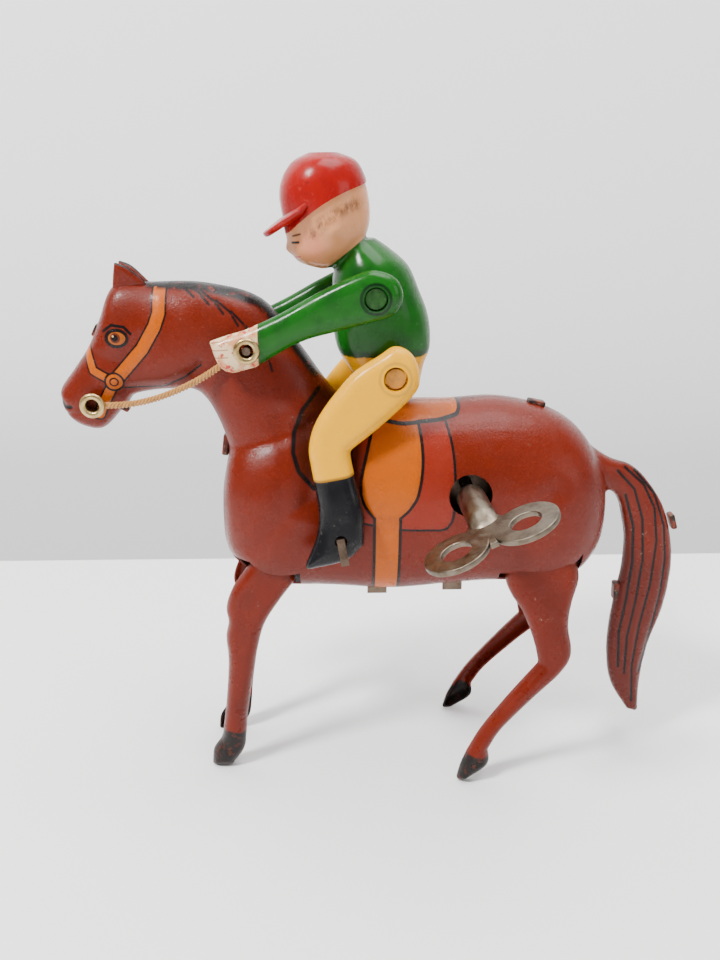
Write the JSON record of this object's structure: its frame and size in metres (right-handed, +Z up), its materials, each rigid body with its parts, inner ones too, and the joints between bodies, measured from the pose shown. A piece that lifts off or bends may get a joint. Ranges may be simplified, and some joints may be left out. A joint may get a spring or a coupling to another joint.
{
  "type": "wind up tin toy",
  "caption": "Clockwork tin horse with a jointed celluloid jockey; the key winds a spring that swings the legs in pairs and rocks the rider.",
  "frame": {"origin": "middle of the base of the toy's bounding box, on the surface that the hooves stand on", "axes": "+Z up, the horse faces -X, its near side with the key is -Y"},
  "size_m": [0.15, 0.0699, 0.1523],
  "materials": {
    "horse_tin": "glossy lithographed tin, red brown with orange straps and black line work, lightly scuffed",
    "leg_tin": "glossy red-brown painted tin with black hooves",
    "brass": "dull aged brass",
    "steel": "plated steel with a brown patina",
    "dark_steel": "plain oiled steel",
    "green_celluloid": "glossy painted celluloid, green shirt, flesh-coloured head and red cap",
    "yellow_celluloid": "glossy yellow and black painted celluloid",
    "rein_cord": "ochre twisted cotton string"
  },
  "bodies": {
    "horse": {"body_shell_left": "horse_tin", "body_shell_right": "horse_tin", "mouth_eyelet": "brass", "neck_pin": "steel", "stirrup_bar": "steel", "motor_plate_left": "steel", "motor_plate_right": "steel", "plate_pillars": "dark_steel", "mainspring": "dark_steel", "rein_left": "rein_cord", "rein_right": "rein_cord"},
    "winding": {"winding_arbor": "dark_steel", "winding_key": "steel", "ratchet_wheel": "dark_steel"},
    "great": {"great_wheel": "brass", "click_spring": "dark_steel"},
    "pawl": {"click": "dark_steel"},
    "crank": {"crank_arbor": "dark_steel", "second_wheel": "brass", "crank_disc_left": "steel", "crank_disc_right": "steel"},
    "escape": {"escape_arbor": "dark_steel", "escape_wheel": "brass"},
    "rocker": {"pallet_arbor": "dark_steel", "pallet": "dark_steel"},
    "front_legs": {"front_leg_left": "leg_tin", "front_leg_right": "leg_tin", "front_leg_axle": "steel", "front_leg_lever": "dark_steel"},
    "rear_legs": {"rear_leg_left": "leg_tin", "rear_leg_right": "leg_tin", "rear_leg_axle": "steel", "rear_leg_lever": "dark_steel"},
    "front_link": {"front_link": "dark_steel"},
    "rear_link": {"rear_link": "dark_steel"},
    "rider_legs": {"rider_leg_left": "yellow_celluloid", "rider_leg_right": "yellow_celluloid"},
    "rider": {"rider_body": "green_celluloid", "hip_pin": "yellow_celluloid", "shoulder_pin": "green_celluloid"},
    "rider_arms": {"rider_arm_left": "green_celluloid", "rider_arm_right": "green_celluloid", "hand_eyelet_left": "brass", "hand_eyelet_right": "brass"},
    "lifter": {"lift_rod": "steel"}
  },
  "joints": [
    {"name": "key_wind", "type": "hinge", "parent": "horse", "child": "winding", "pos_m": [0.0202, 0.01197, 0.0775], "axis": [0, 1, 0], "continuous": true},
    {"name": "great_wheel_turn", "type": "hinge", "parent": "horse", "child": "great", "pos_m": [0.0202, 0.01197, 0.0775], "axis": [0, 1, 0], "continuous": true},
    {"name": "click_lift", "type": "hinge", "parent": "great", "child": "pawl", "pos_m": [0.0243, 0.01197, 0.0846], "axis": [0, 1, 0], "range_deg": [0, 8], "stiffness_Nm_per_rad": 0.0005, "springref_deg": -5.73},
    {"name": "crank_turn", "type": "hinge", "parent": "horse", "child": "crank", "pos_m": [0.00461, 0.01197, 0.0685], "axis": [0, 1, 0], "continuous": true},
    {"name": "escape_turn", "type": "hinge", "parent": "horse", "child": "escape", "pos_m": [-0.00412, 0.01197, 0.07583], "axis": [0, 1, 0], "continuous": true},
    {"name": "pallet_rock", "type": "hinge", "parent": "horse", "child": "rocker", "pos_m": [-0.01132, 0.01197, 0.07583], "axis": [0, 1, 0], "range_deg": [-6, 6]},
    {"name": "front_legs_swing", "type": "hinge", "parent": "horse", "child": "front_legs", "pos_m": [-0.0275, 0.01197, 0.062], "axis": [0, 1, 0], "range_deg": [-12, 12]},
    {"name": "rear_legs_swing", "type": "hinge", "parent": "horse", "child": "rear_legs", "pos_m": [0.039, 0.01197, 0.066], "axis": [0, 1, 0], "range_deg": [-12, 12]},
    {"name": "front_link_pivot", "type": "hinge", "parent": "front_legs", "child": "front_link", "pos_m": [-0.02568, 0.01197, 0.07234], "axis": [0, 1, 0], "range_deg": [-12, 12]},
    {"name": "rear_link_pivot", "type": "hinge", "parent": "rear_legs", "child": "rear_link", "pos_m": [0.03718, 0.01197, 0.07634], "axis": [0, 1, 0], "range_deg": [-12, 12]},
    {"name": "rider_legs_rock", "type": "hinge", "parent": "horse", "child": "rider_legs", "pos_m": [-0.0096, 0.01197, 0.0686], "axis": [0, -1, 0], "range_deg": [0, 6]},
    {"name": "rider_body_rock", "type": "hinge", "parent": "rider_legs", "child": "rider", "pos_m": [0.0027, 0.01197, 0.1047], "axis": [0, -1, 0], "range_deg": [-17, 1]},
    {"name": "rider_arms_rock", "type": "hinge", "parent": "rider", "child": "rider_arms", "pos_m": [-0.0017, 0.01197, 0.122], "axis": [0, -1, 0], "range_deg": [-1, 14.5]},
    {"name": "lift_rod_rise", "type": "slide", "parent": "horse", "child": "lifter", "axis": [0, 0, 1], "range_m": [0, 0.0013]}
  ],
  "couplings": [
    {"joint": "crank_turn", "follows": "great_wheel_turn", "ratio": -4},
    {"joint": "escape_turn", "follows": "great_wheel_turn", "ratio": 15},
    {"joint": "rear_legs_swing", "follows": "front_legs_swing", "ratio": -1},
    {"joint": "front_link_pivot", "follows": "front_legs_swing", "ratio": -1},
    {"joint": "rear_link_pivot", "follows": "front_legs_swing", "ratio": 1},
    {"joint": "rider_body_rock", "follows": "rider_legs_rock", "ratio": -2.6884},
    {"joint": "rider_arms_rock", "follows": "rider_legs_rock", "ratio": 2.2735},
    {"joint": "lift_rod_rise", "follows": "rider_legs_rock", "m_per_rad": 0.010389}
  ]
}
